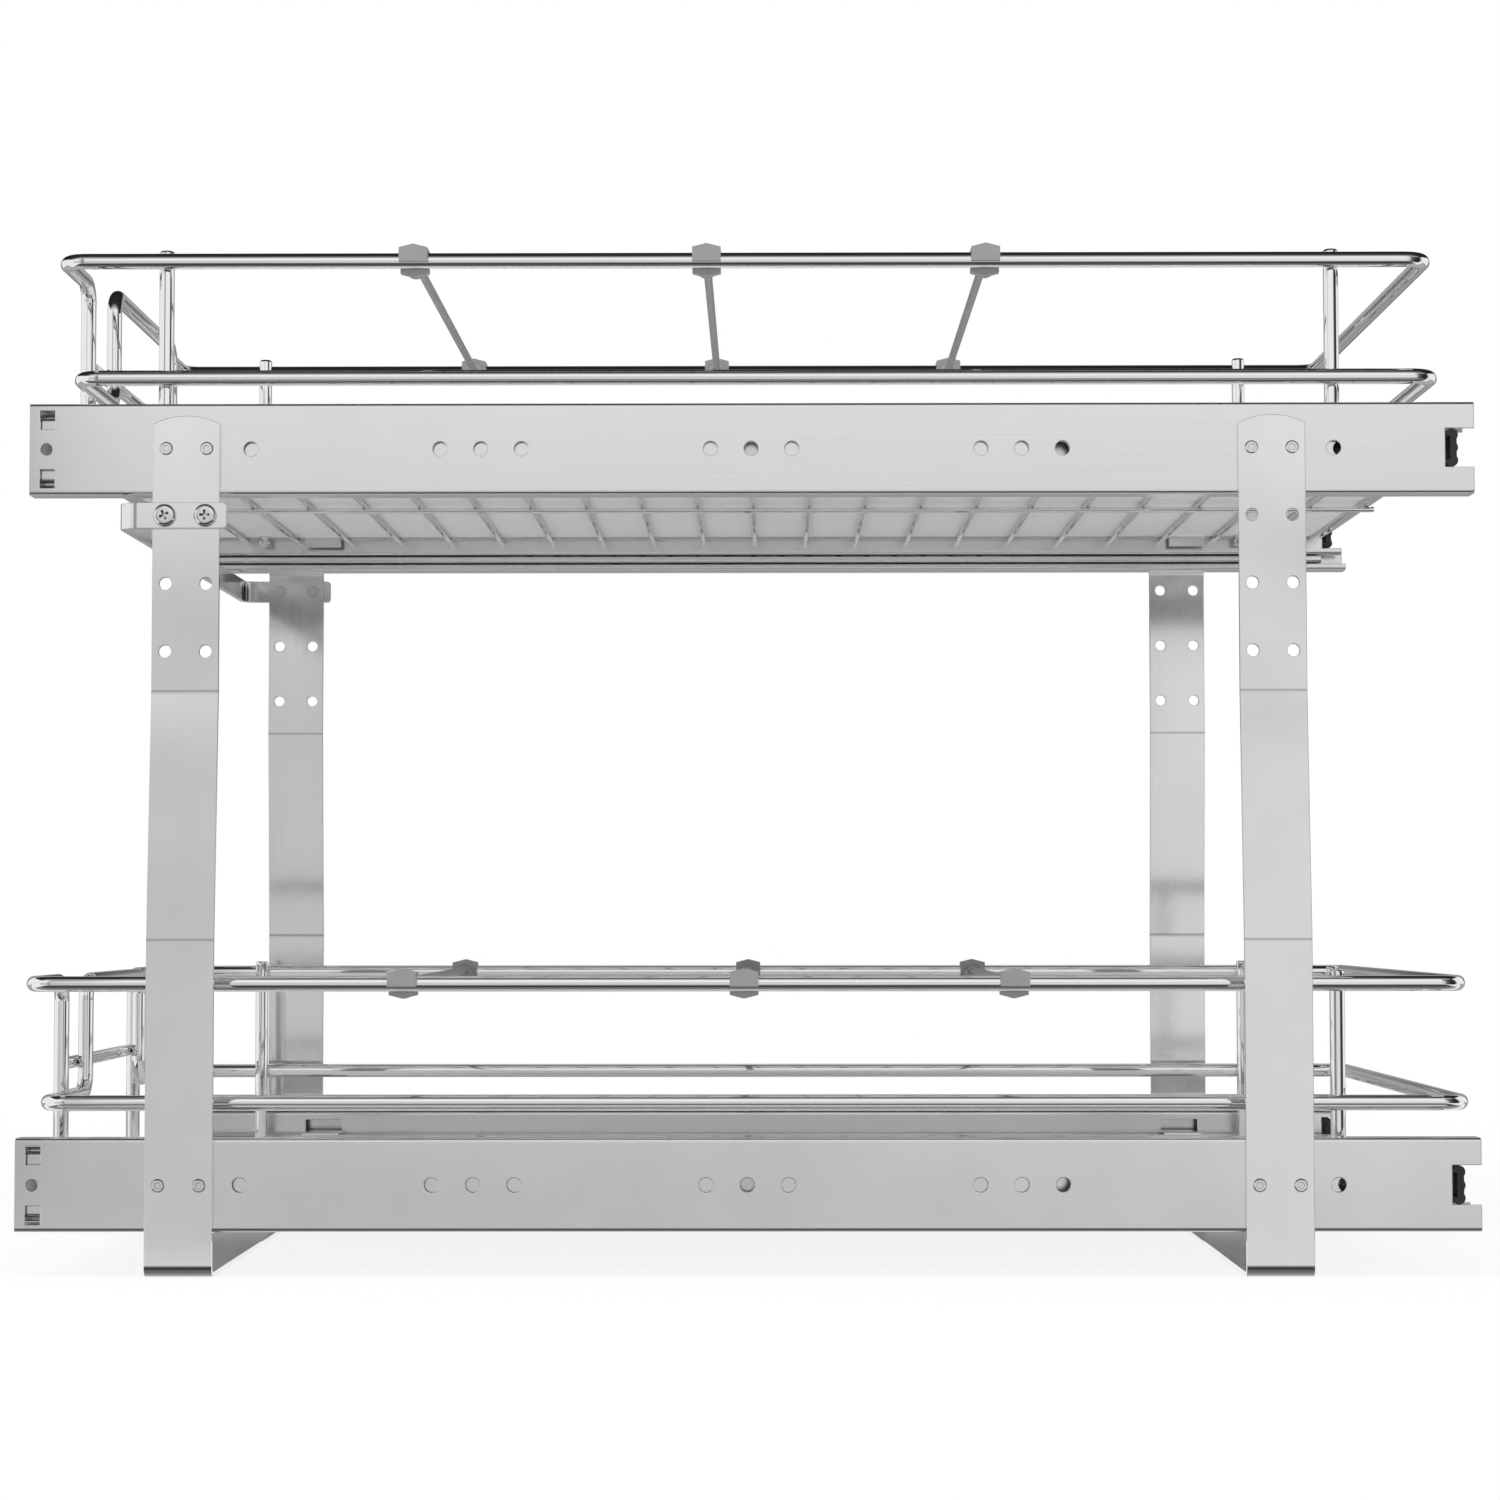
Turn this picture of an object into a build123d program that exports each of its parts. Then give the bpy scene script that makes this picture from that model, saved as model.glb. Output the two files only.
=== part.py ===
import os

from build123d import *

os.makedirs("parts", exist_ok=True)

# Two-tier pull-out organizer. X is the width, the pull side faces -Y, Z is up from the cabinet floor.

# Frame
width = 318.0
strap_width = 25.4
strap_thickness = 2.0
strap_front_y = -213.2
strap_rear_y = 199.4
strap_corner_bend = 4.5
strap_jog = 6.7
strap_jog_start_z = 126.4
strap_jog_end_z = 220.5
strap_jog_bend = 40.0
strap_above_mid_slide = 12.5
strap_arch = 3.1
hole_spacing = 15.4
hole_rows = 4
strap_hole = 4.8

# Cross strip below the upper slides and its screws
strip_height = 9.8
strip_gap = 3.4
strip_thickness = 2.0
strip_front_reach = 13.0
strip_rear_reach = 3.0
strip_bend = 7.5
strip_corner = 1.5
screw_head = 8.8
screw_head_height = 2.4
screw_head_round = 1.9
screw_end = 0.6
recess_width = 0.9
recess_length = 3.8
recess_depth = 2.0
recess_turn = 25.0

# Rivets
rivet_clearance = 0.05
rivet_dome = 0.4
rivet_edge = 0.3
rivet_dimple = 2.4
rivet_dimple_depth = 0.25

# Slides: every depth runs from the outer face towards the basket
slide_length = 550.0
slide_height = 35.0
slide_thickness = 12.7
sheet = 1.2
member_bend = 1.5
outer_lip_gap = 0.6
outer_lip = 2.9
middle_lip_gap = 0.8
middle_lip = 3.0
riser = 1.83
riser_bend = 0.45
middle_bend = 1.3
cage_sheet = 0.8
cage_gap = 0.3
cage_finger = 0.4
cage_length = 233.0
cage_end_web = 7.0
cage_slot = 10.0
ball_pitch = 13.1
ball_count = 17
outer_ball = 3.97
inner_ball = 2.4
ball_clearance = 0.08
cage_rest_y = 16.0
slide_hole = 5.6
hole_cluster_pitch = 103.0
hole_cluster_step = 15.5
front_hole_y = -190.6
rear_hole_y = 221.6
middle_rear_hole_y = 224.6
front_end_hole = 4.6
front_end_hole_inset = 6.5
window_inset = 4.0
window_length = 5.7
window_height = 7.1
window_from_edge = 2.7
notch_depth = 11.0
notch_height = 14.8
middle_setback = 11.3
inner_setback = 2.0
bumper_clearance = 0.1
bumper_spine = 2.5
bumper_spine_shift = 0.65
bumper_relief = 1.8
bumper_hook = 2.8
bumper_lobe_pitch = 4.9

# Basket wires
basket_side_gap = 2.2
rail_wire = 6.0
post_wire = 5.8
rod_wire = 5.0
end_wire = 5.0
cross_wire = 2.3
edge_wire = 2.8
weld = 0.1
post_weld = 0.2
top_rail_z = 92.5
lower_rail_z = 47.1
rod_z = 59.5
post_top_z = 97.5
post_round = 1.0
post_foot_z = 10.8
cross_wire_z = 13.9
cross_wire_overhang = 2.0
centre_wire_overhang = 3.0
edge_wire_inset = 1.5
rail_bend = 8.0
post_front_y = -225.0
post_rear_y = 226.0

# Liner on the floor wires
liner_thickness = 1.0
liner_clearance = 0.3
liner_post_clearance = 0.6
liner_tab_notch = 8.0
liner_tab_side = 1.0

# Hook tabs of the inner members
tab_width = 16.8
hook_clearance = 0.1
hook_bend = 1.4
hook_end_drop = 3.5
tab_window = 5.0

# Dividers
clip_width = 11.0
clip_height = 11.6
clip_depth = 11.0
clip_roof_rise = 1.4
clip_clearance = 0.08
clip_jaw_reach = 1.5
clip_lip_drop = 1.0
hub = 8.6
hub_length = 3.0
hub_chamfer = 1.2
hub_drop = 1.5
bar = 3.25
bar_rise = 0.7

# Each tier: bottom of its slides, their shift along Y, where its basket ends, its tabs and dividers
tiers = {
    "lower": {
        "base_z": 16.9,
        "jog": 0.0,
        "slide_y": 0.0,
        "front_y": -274.3,
        "top_rear_y": 272.4,
        "lower_rear_y": 273.1,
        "floor_rear_y": 270.7,
        "upright_inset": 58.4,
        "arch_inset": 77.4,
        "floor_gaps": 19,
        "tabs": (-198.2, 198.2),
        "dividers": (-131.9, -1.3, 102.1),
    },
    "upper": {
        "base_z": 295.5,
        "jog": strap_jog,
        "slide_y": 1.6,
        "front_y": -263.7,
        "top_rear_y": 261.7,
        "lower_rear_y": 264.0,
        "floor_rear_y": 262.0,
        "upright_inset": 47.4,
        "arch_inset": 70.4,
        "floor_gaps": 22,
        "tabs": (-198.2, 202.1),
        "dividers": (-128.5, -15.6, 91.9),
    },
}

# Heights of the hole rows in the straps
lower_mid_z = tiers["lower"]["base_z"] + slide_height / 2
upper_mid_z = tiers["upper"]["base_z"] + slide_height / 2
strap_top_z = upper_mid_z + strap_above_mid_slide
hole_row_pitch = (slide_height + strip_height) / 2 + strip_gap
row_heights = [lower_mid_z] + [upper_mid_z - row * hole_row_pitch for row in range(hole_rows)]
screw_z = upper_mid_z - hole_row_pitch
strap_lower_x = width / 2
strap_upper_x = strap_lower_x - strap_jog
screw_shank = strap_hole - 2 * rivet_clearance

# Slide section: depth s from the outer face, height t from the middle
half_height = slide_height / 2
outer_ball_r = outer_ball / 2
inner_ball_r = inner_ball / 2
outer_ball_t = half_height - sheet - ball_clearance - outer_ball_r
outer_ball_s = sheet + ball_clearance + outer_ball_r
middle_web_s = sheet + 2 * cage_gap + cage_sheet
shelf_t = outer_ball_t - outer_ball_r - ball_clearance
riser_s = outer_ball_s + outer_ball_r + ball_clearance
middle_half = shelf_t + riser
inner_ball_t = middle_half - sheet - ball_clearance - inner_ball_r
inner_half = inner_ball_t - inner_ball_r - ball_clearance
inner_cage_s = riser_s + sheet + cage_gap
inner_ball_s = inner_cage_s + cage_sheet + cage_gap + inner_ball_r
inner_flange_s = inner_cage_s + cage_sheet + cage_gap
outer_lip_s = slide_thickness - outer_lip_gap
middle_lip_s = slide_thickness - middle_lip_gap

# Places along one slide, from its middle
front_end = -slide_length / 2
rear_end = slide_length / 2
slide_holes = [front_hole_y, rear_hole_y] + [
    cluster * hole_cluster_pitch + step * hole_cluster_step
    for cluster in (-1, 0, 1)
    for step in (-1, 0, 1)
]
middle_holes = [
    0.0,
    hole_cluster_pitch + hole_cluster_step,
    middle_rear_hole_y,
    front_end + front_end_hole_inset,
]


def bent_wire(points, diameter, bend, closed=False):
    """Round wire bent at every corner of its route"""
    with BuildPart() as wire:
        with BuildLine() as route:
            FilletPolyline(*points, radius=bend, close=closed)
        with BuildSketch(Plane(origin=route.line @ 0, z_dir=route.line % 0)):
            Circle(diameter / 2)
        sweep(path=route.line)
    return wire.part


def straight_wire(start, end, diameter):
    """Round wire with square ends"""
    run = Vector(*end) - Vector(*start)
    with BuildPart() as wire:
        with BuildSketch(Plane(origin=start, z_dir=run)):
            Circle(diameter / 2)
        extrude(amount=run.length)
    return wire.part


def folded_sheet(corners, thickness, bend, rear_y, length):
    """Sheet folded along its outer line in X and Z, running from rear_y towards the front"""
    with BuildPart() as folded:
        with BuildSketch(Plane.XZ.offset(-rear_y)):
            with BuildLine():
                FilletPolyline(*corners, radius=bend)
                offset(amount=thickness, side=Side.LEFT, closed=True)
            make_face()
        extrude(amount=length)
    return folded.part


# Straps: one flat bar each, bent to a U with an inward jog and arched ends
strap_line = [
    (-strap_upper_x, strap_top_z),
    (-strap_upper_x, strap_jog_end_z),
    (-strap_lower_x, strap_jog_start_z),
    (-strap_lower_x, 0),
    (strap_lower_x, 0),
    (strap_lower_x, strap_jog_start_z),
    (strap_upper_x, strap_jog_end_z),
    (strap_upper_x, strap_top_z),
]
strap_bends = [strap_jog_bend] * 2 + [strap_corner_bend] * 2 + [strap_jog_bend] * 2
arch_radius = ((strap_width / 2) ** 2 + strap_arch**2) / (2 * strap_arch)

for strap_name, strap_y in (("front_strap", strap_front_y), ("rear_strap", strap_rear_y)):
    bar_rear_y = strap_y + strap_width / 2
    flat_bar = folded_sheet(strap_line, strap_thickness, strap_bends, bar_rear_y, strap_width)
    with BuildPart() as strap:
        add(flat_bar)
        with BuildSketch(Plane.YZ.offset(-width)):
            with Locations((strap_y, strap_top_z)):
                Rectangle(2 * strap_width, 2 * strap_arch)
            with Locations((strap_y, strap_top_z - arch_radius)):
                Circle(arch_radius, mode=Mode.SUBTRACT)
        extrude(amount=2 * width, mode=Mode.SUBTRACT)
        with BuildSketch(Plane.YZ.offset(-width)):
            with Locations(*[(strap_y, z) for z in row_heights]):
                with GridLocations(hole_spacing, 0, 2, 1):
                    Circle(strap_hole / 2)
        extrude(amount=2 * width, mode=Mode.SUBTRACT)
    strap.part.label = strap_name
    export_step(strap.part, f"parts/{strap_name}.step")

# Cross strip: legs outside the front strap, the cross part in front of it
leg_x = strap_upper_x + strip_thickness
strip_rear_y = strap_front_y + strap_width / 2 + strip_rear_reach
strip_front_y = strap_front_y - strap_width / 2 - strip_front_reach
with BuildPart() as front_cross_strip:
    with BuildSketch(Plane.XY.offset(screw_z - strip_height / 2)):
        with BuildLine():
            FilletPolyline(
                (leg_x, strip_rear_y),
                (leg_x, strip_front_y),
                (-leg_x, strip_front_y),
                (-leg_x, strip_rear_y),
                radius=strip_bend,
            )
            offset(amount=strip_thickness, side=Side.RIGHT, closed=True)
        make_face()
    extrude(amount=strip_height)
    fillet(front_cross_strip.edges().filter_by(Axis.X).group_by(Axis.Y)[-1], strip_corner)
    with BuildSketch(Plane.YZ.offset(-width)):
        with Locations((strap_front_y, screw_z)):
            with GridLocations(hole_spacing, 0, 2, 1):
                Circle(strap_hole / 2)
    extrude(amount=2 * width, mode=Mode.SUBTRACT)
front_cross_strip.part.label = "front_cross_strip"
export_step(front_cross_strip.part, "parts/front_cross_strip.step")

# Cross strip screws
shank_start = strap_upper_x - strap_thickness - screw_end
with BuildPart() as cross_strip_screws:
    with BuildSketch(Plane.YZ.offset(shank_start)):
        with Locations((strap_front_y, screw_z)):
            with GridLocations(hole_spacing, 0, 2, 1):
                Circle(screw_shank / 2)
    extrude(amount=leg_x - shank_start)
    with BuildSketch(Plane.YZ.offset(leg_x)):
        with Locations((strap_front_y, screw_z)):
            with GridLocations(hole_spacing, 0, 2, 1):
                Circle(screw_head / 2)
    extrude(amount=screw_head_height)
    fillet(cross_strip_screws.faces().sort_by(Axis.X)[-2:].edges(), screw_head_round)
    with BuildSketch(Plane.YZ.offset(leg_x + screw_head_height)):
        for side, turn in ((-1, recess_turn), (1, 0)):
            with Locations((strap_front_y + side * hole_spacing / 2, screw_z)):
                Rectangle(recess_length, recess_width, rotation=turn)
                Rectangle(recess_width, recess_length, rotation=turn)
    extrude(amount=-recess_depth, mode=Mode.SUBTRACT)
    mirror(about=Plane.YZ)
cross_strip_screws.part.label = "cross_strip_screws"
export_step(cross_strip_screws.part, "parts/cross_strip_screws.step")

# Everything that repeats on each tier
for tier, place in tiers.items():
    base_z = place["base_z"]
    mid_z = base_z + half_height
    slide_y = place["slide_y"]
    front_y = place["front_y"]
    face_x = width / 2 - strap_thickness - place["jog"]
    inner_face_x = face_x - slide_thickness
    rail_x = strap_upper_x - strap_thickness - slide_thickness - basket_side_gap
    upright_x = rail_x - place["upright_inset"]
    arch_x = rail_x - place["arch_inset"]
    arch_y = front_y + rail_wire - weld
    floor_front_y = front_y + (rail_wire + end_wire) / 2 - weld
    floor_rear_y = place["floor_rear_y"]
    floor_pitch = (floor_rear_y - floor_front_y) / place["floor_gaps"]

    # Rivets through strap and outer member, flush inside
    with BuildPart() as slide_rivets:
        with BuildSketch(Plane.YZ.offset(face_x - sheet)):
            for strap_y in (strap_front_y, strap_rear_y):
                with Locations((strap_y, mid_z)):
                    with GridLocations(hole_spacing, 0, 2, 1):
                        Circle(strap_hole / 2 - rivet_clearance)
        extrude(amount=sheet + strap_thickness + rivet_dome)
        chamfer(slide_rivets.faces().sort_by(Axis.X)[-4:].edges(), rivet_edge)
        with BuildSketch(Plane.YZ.offset(face_x + strap_thickness + rivet_dome)):
            for strap_y in (strap_front_y, strap_rear_y):
                with Locations((strap_y, mid_z)):
                    with GridLocations(hole_spacing, 0, 2, 1):
                        Circle(rivet_dimple / 2)
        extrude(amount=-rivet_dimple_depth, mode=Mode.SUBTRACT)
        mirror(about=Plane.YZ)
    slide_rivets.part.label = f"{tier}_slide_rivets"
    export_step(slide_rivets.part, f"parts/{tier}_slide_rivets.step")

    # Outer member: a C channel with its web on the straps
    outer_line = [
        (face_x - outer_lip_s, mid_z - half_height + outer_lip),
        (face_x - outer_lip_s, mid_z - half_height),
        (face_x, mid_z - half_height),
        (face_x, mid_z + half_height),
        (face_x - outer_lip_s, mid_z + half_height),
        (face_x - outer_lip_s, mid_z + half_height - outer_lip),
    ]
    outer_channel = folded_sheet(outer_line, sheet, member_bend, slide_y + rear_end, slide_length)
    with BuildPart() as right_outer:
        add(outer_channel)
        with BuildSketch(Plane.YZ.offset(face_x - 2 * sheet)):
            with Locations(*[(slide_y + y, mid_z) for y in slide_holes]):
                Circle(slide_hole / 2)
            for strap_y in (strap_front_y, strap_rear_y):
                with Locations((strap_y, mid_z)):
                    with GridLocations(hole_spacing, 0, 2, 1):
                        Circle(strap_hole / 2)
            with Locations((slide_y + front_end + front_end_hole_inset, mid_z)):
                Circle(front_end_hole / 2)
            with Locations((slide_y + front_end + window_inset + window_length / 2, mid_z)):
                with GridLocations(0, slide_height - 2 * window_from_edge - window_height, 1, 2):
                    Rectangle(window_length, window_height)
            with Locations((slide_y + rear_end, mid_z)):
                Rectangle(2 * notch_depth, notch_height)
        extrude(amount=3 * sheet, mode=Mode.SUBTRACT)

    # Intermediate member: a channel stepped round both rows of balls, stopped short by the bumper
    middle_line = [
        (face_x - middle_lip_s, mid_z - middle_half + middle_lip),
        (face_x - middle_lip_s, mid_z - middle_half),
        (face_x - riser_s, mid_z - middle_half),
        (face_x - riser_s, mid_z - shelf_t),
        (face_x - middle_web_s, mid_z - shelf_t),
        (face_x - middle_web_s, mid_z + shelf_t),
        (face_x - riser_s, mid_z + shelf_t),
        (face_x - riser_s, mid_z + middle_half),
        (face_x - middle_lip_s, mid_z + middle_half),
        (face_x - middle_lip_s, mid_z + middle_half - middle_lip),
    ]
    middle_bends = [member_bend, middle_bend, riser_bend, member_bend]
    middle_rear_y = slide_y + rear_end - middle_setback
    middle_length = slide_length - middle_setback
    middle_channel = folded_sheet(
        middle_line, sheet, middle_bends + middle_bends[::-1], middle_rear_y, middle_length
    )
    with BuildPart() as right_intermediate:
        add(middle_channel)
        with BuildSketch(Plane.YZ.offset(face_x - middle_web_s - 2 * sheet)):
            with Locations(*[(slide_y + y, mid_z) for y in middle_holes]):
                Circle(slide_hole / 2)
        extrude(amount=3 * sheet, mode=Mode.SUBTRACT)

    # Inner member: a channel facing the other way, with two hook tabs over the edge wire
    edge_wire_x = rail_x - edge_wire_inset
    edge_wire_z = base_z + cross_wire_z + (cross_wire + edge_wire) / 2 - weld
    tab_under_z = edge_wire_z + edge_wire / 2 + hook_clearance
    tab_top_z = tab_under_z + sheet
    hook_x = edge_wire_x - edge_wire / 2 - hook_clearance - sheet
    inner_line = [
        (face_x - inner_flange_s, mid_z + inner_half),
        (inner_face_x, mid_z + inner_half),
        (inner_face_x, mid_z - inner_half),
        (face_x - inner_flange_s, mid_z - inner_half),
    ]
    hook_line = [
        (inner_face_x + sheet / 2, tab_top_z),
        (hook_x, tab_top_z),
        (hook_x, base_z + cross_wire_z - hook_end_drop),
    ]
    inner_rear_y = slide_y + rear_end - inner_setback
    inner_channel = folded_sheet(inner_line, sheet, member_bend, inner_rear_y, slide_length - inner_setback)
    hooks = [folded_sheet(hook_line, sheet, hook_bend, y + tab_width / 2, tab_width) for y in place["tabs"]]
    with BuildPart() as right_inner:
        add(inner_channel)
        with BuildSketch(Plane.YZ.offset(inner_face_x - sheet)):
            with Locations(*[(y, tab_top_z + tab_window / 2) for y in place["tabs"]]):
                Rectangle(tab_width, tab_window)
            with Locations((slide_y + rear_end, mid_z)):
                Rectangle(2 * notch_depth, notch_height)
        extrude(amount=3 * sheet, mode=Mode.SUBTRACT)
        add(hooks)

    for node, right_hand in (
        ("outer_member", right_outer.part),
        ("intermediate_member", right_intermediate.part),
        ("inner_member", right_inner.part),
    ):
        with BuildPart() as right_member:
            add(right_hand)
        right_member.part.label = f"{tier}_right_{node}"
        export_step(right_member.part, f"parts/{tier}_right_{node}.step")
        with BuildPart() as left_member:
            mirror(right_hand, about=Plane.YZ)
        left_member.part.label = f"{tier}_left_{node}"
        export_step(left_member.part, f"parts/{tier}_left_{node}.step")

    # Ball cages: a strip with two flanges, pocketed where the balls sit. The outer one has a long slot
    ball_places = [(step - (ball_count - 1) / 2) * ball_pitch for step in range(ball_count)]
    for row, cage_s, ball_s, ball_t, ball_r, middle_y in (
        ("outer", sheet + cage_gap, outer_ball_s, outer_ball_t, outer_ball_r, cage_rest_y),
        ("inner", inner_cage_s, inner_ball_s, inner_ball_t, inner_ball_r, 0.0),
    ):
        flange_x = face_x - ball_s - cage_finger
        flange_t = ball_t + cage_sheet / 2
        cage_line = [
            (flange_x, mid_z - flange_t),
            (face_x - cage_s, mid_z - flange_t),
            (face_x - cage_s, mid_z + flange_t),
            (flange_x, mid_z + flange_t),
        ]
        cage_y = slide_y + middle_y
        strip = folded_sheet(cage_line, cage_sheet, cage_sheet, cage_y + cage_length / 2, cage_length)
        pocket_r = ball_r + ball_clearance
        with BuildPart() as ball_cages:
            add(strip)
            for level in (mid_z - ball_t, mid_z + ball_t):
                with BuildSketch(Plane.XY.offset(level - pocket_r)):
                    with Locations(*[(face_x - ball_s, cage_y + y) for y in ball_places]):
                        Circle(pocket_r)
                extrude(amount=2 * pocket_r, mode=Mode.SUBTRACT)
            if row == "outer":
                with BuildSketch(Plane.YZ.offset(face_x - cage_s - 2 * cage_sheet)):
                    with Locations((cage_y, mid_z)):
                        SlotOverall(cage_length - 2 * cage_end_web, cage_slot)
                extrude(amount=3 * cage_sheet, mode=Mode.SUBTRACT)
            mirror(about=Plane.YZ)
        ball_cages.part.label = f"{tier}_{row}_ball_cages"
        export_step(ball_cages.part, f"parts/{tier}_{row}_ball_cages.step")

        with BuildPart() as balls:
            for level in (mid_z - ball_t, mid_z + ball_t):
                with Locations(*[(face_x - ball_s, cage_y + y, level) for y in ball_places]):
                    Sphere(ball_r)
            mirror(about=Plane.YZ)
        balls.part.label = f"{tier}_{row}_balls"
        export_step(balls.part, f"parts/{tier}_{row}_balls.step")

    # Rubber bumpers in the rear notches: three lobes on a spine, relieved in front between two hooks
    bumper_lobe_r = (notch_height - 2 * bumper_clearance - 2 * bumper_lobe_pitch) / 2
    bumper_y = slide_y + rear_end - notch_depth + bumper_clearance + bumper_lobe_r
    with BuildPart() as rear_bumpers:
        with BuildSketch(Plane.YZ.offset(inner_face_x + sheet)):
            with Locations((bumper_y, mid_z)):
                with GridLocations(0, bumper_lobe_pitch, 1, 3):
                    Circle(bumper_lobe_r)
            with Locations((bumper_y + bumper_spine_shift, mid_z)):
                Rectangle(bumper_spine, 2 * bumper_lobe_pitch)
            with Locations((bumper_y - bumper_lobe_r + bumper_relief / 2, mid_z)):
                Rectangle(bumper_relief, notch_height - 2 * bumper_hook, mode=Mode.SUBTRACT)
        extrude(amount=slide_thickness - sheet - bumper_clearance)
        mirror(about=Plane.YZ)
    rear_bumpers.part.label = f"{tier}_rear_bumpers"
    export_step(rear_bumpers.part, f"parts/{tier}_rear_bumpers.step")

    # Top rail: one wire whose front ends turn down to the floor
    top_z = base_z + top_rail_z
    low_z = base_z + lower_rail_z
    top_wire = bent_wire(
        [
            (upright_x, front_y, base_z + post_foot_z),
            (upright_x, front_y, top_z),
            (rail_x, front_y, top_z),
            (rail_x, place["top_rear_y"], top_z),
            (-rail_x, place["top_rear_y"], top_z),
            (-rail_x, front_y, top_z),
            (-upright_x, front_y, top_z),
            (-upright_x, front_y, base_z + post_foot_z),
        ],
        rail_wire,
        rail_bend,
    )
    with BuildPart() as top_rail:
        add(top_wire)
    top_rail.part.label = f"{tier}_top_rail"
    export_step(top_rail.part, f"parts/{tier}_top_rail.step")

    # Lower rail: a closed wire raised to an arch between the uprights
    lower_wire = bent_wire(
        [
            (rail_x, arch_y, low_z),
            (arch_x, arch_y, low_z),
            (arch_x, arch_y, top_z),
            (-arch_x, arch_y, top_z),
            (-arch_x, arch_y, low_z),
            (-rail_x, arch_y, low_z),
            (-rail_x, place["lower_rear_y"], low_z),
            (rail_x, place["lower_rear_y"], low_z),
        ],
        rail_wire,
        rail_bend,
        closed=True,
    )
    with BuildPart() as lower_rail:
        add(lower_wire)
    lower_rail.part.label = f"{tier}_lower_rail"
    export_step(lower_rail.part, f"parts/{tier}_lower_rail.step")

    # Front rod between the uprights, against the front of the arch
    rod_y = arch_y - (rail_wire + rod_wire) / 2 + weld
    rod_end = upright_x - rail_wire / 2 + weld
    rod = straight_wire((-rod_end, rod_y, base_z + rod_z), (rod_end, rod_y, base_z + rod_z), rod_wire)
    with BuildPart() as front_rod:
        add(rod)
    front_rod.part.label = f"{tier}_front_rod"
    export_step(front_rod.part, f"parts/{tier}_front_rod.step")

    # Posts inside the rails
    post_x = rail_x - (rail_wire + post_wire) / 2 + post_weld
    with BuildPart() as basket_posts:
        with BuildSketch(Plane.XY.offset(base_z + post_foot_z)):
            with Locations(*[(x, y) for x in (-post_x, post_x) for y in (post_front_y, post_rear_y)]):
                Circle(post_wire / 2)
        extrude(amount=post_top_z - post_foot_z)
        fillet(basket_posts.faces().sort_by(Axis.Z)[-4:].edges(), post_round)
    basket_posts.part.label = f"{tier}_basket_posts"
    export_step(basket_posts.part, f"parts/{tier}_basket_posts.step")

    # Floor: thin cross wires with edge wires above them and a centre wire below, between two end wires
    cross_z = base_z + cross_wire_z
    centre_z = cross_z - cross_wire + weld
    end_z = centre_z + (cross_wire + end_wire) / 2 - weld
    cross_x = rail_x + cross_wire_overhang
    floor_wires = [
        straight_wire((-cross_x, y, end_z), (cross_x, y, end_z), end_wire)
        for y in (floor_front_y, floor_rear_y)
    ]
    for gap in range(1, place["floor_gaps"]):
        y = floor_front_y + gap * floor_pitch
        floor_wires.append(straight_wire((-cross_x, y, cross_z), (cross_x, y, cross_z), cross_wire))
    for x in (-edge_wire_x, edge_wire_x):
        floor_wires.append(
            straight_wire((x, floor_front_y, edge_wire_z), (x, floor_rear_y, edge_wire_z), edge_wire)
        )
    centre_front_y = floor_front_y - centre_wire_overhang
    centre_rear_y = floor_rear_y + centre_wire_overhang
    floor_wires.append(straight_wire((0, centre_front_y, centre_z), (0, centre_rear_y, centre_z), cross_wire))
    with BuildPart() as basket_floor:
        add(floor_wires)
    basket_floor.part.label = f"{tier}_basket_floor"
    export_step(basket_floor.part, f"parts/{tier}_basket_floor.step")

    # Liner: a sheet on the cross wires, between the end wires and the edge wires, notched at posts and tabs
    liner_x = hook_x - liner_clearance
    liner_gap = end_wire / 2 + liner_clearance
    liner_length = floor_rear_y - floor_front_y - 2 * liner_gap
    post_places = [(x, y) for x in (-post_x, post_x) for y in (post_front_y, post_rear_y)]
    tab_notches = [(x, y) for x in (-liner_x, liner_x) for y in place["tabs"]]
    with BuildPart() as floor_liner:
        with BuildSketch(Plane.XY.offset(cross_z + cross_wire / 2)):
            with Locations((0, (floor_front_y + floor_rear_y) / 2)):
                Rectangle(2 * liner_x, liner_length)
            with Locations(*post_places):
                Circle(post_wire / 2 + liner_post_clearance, mode=Mode.SUBTRACT)
            with Locations(*tab_notches):
                Rectangle(2 * liner_tab_notch, tab_width + 2 * liner_tab_side, mode=Mode.SUBTRACT)
        extrude(amount=liner_thickness)
    floor_liner.part.label = f"{tier}_floor_liner"
    export_step(floor_liner.part, f"parts/{tier}_floor_liner.step")

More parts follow.
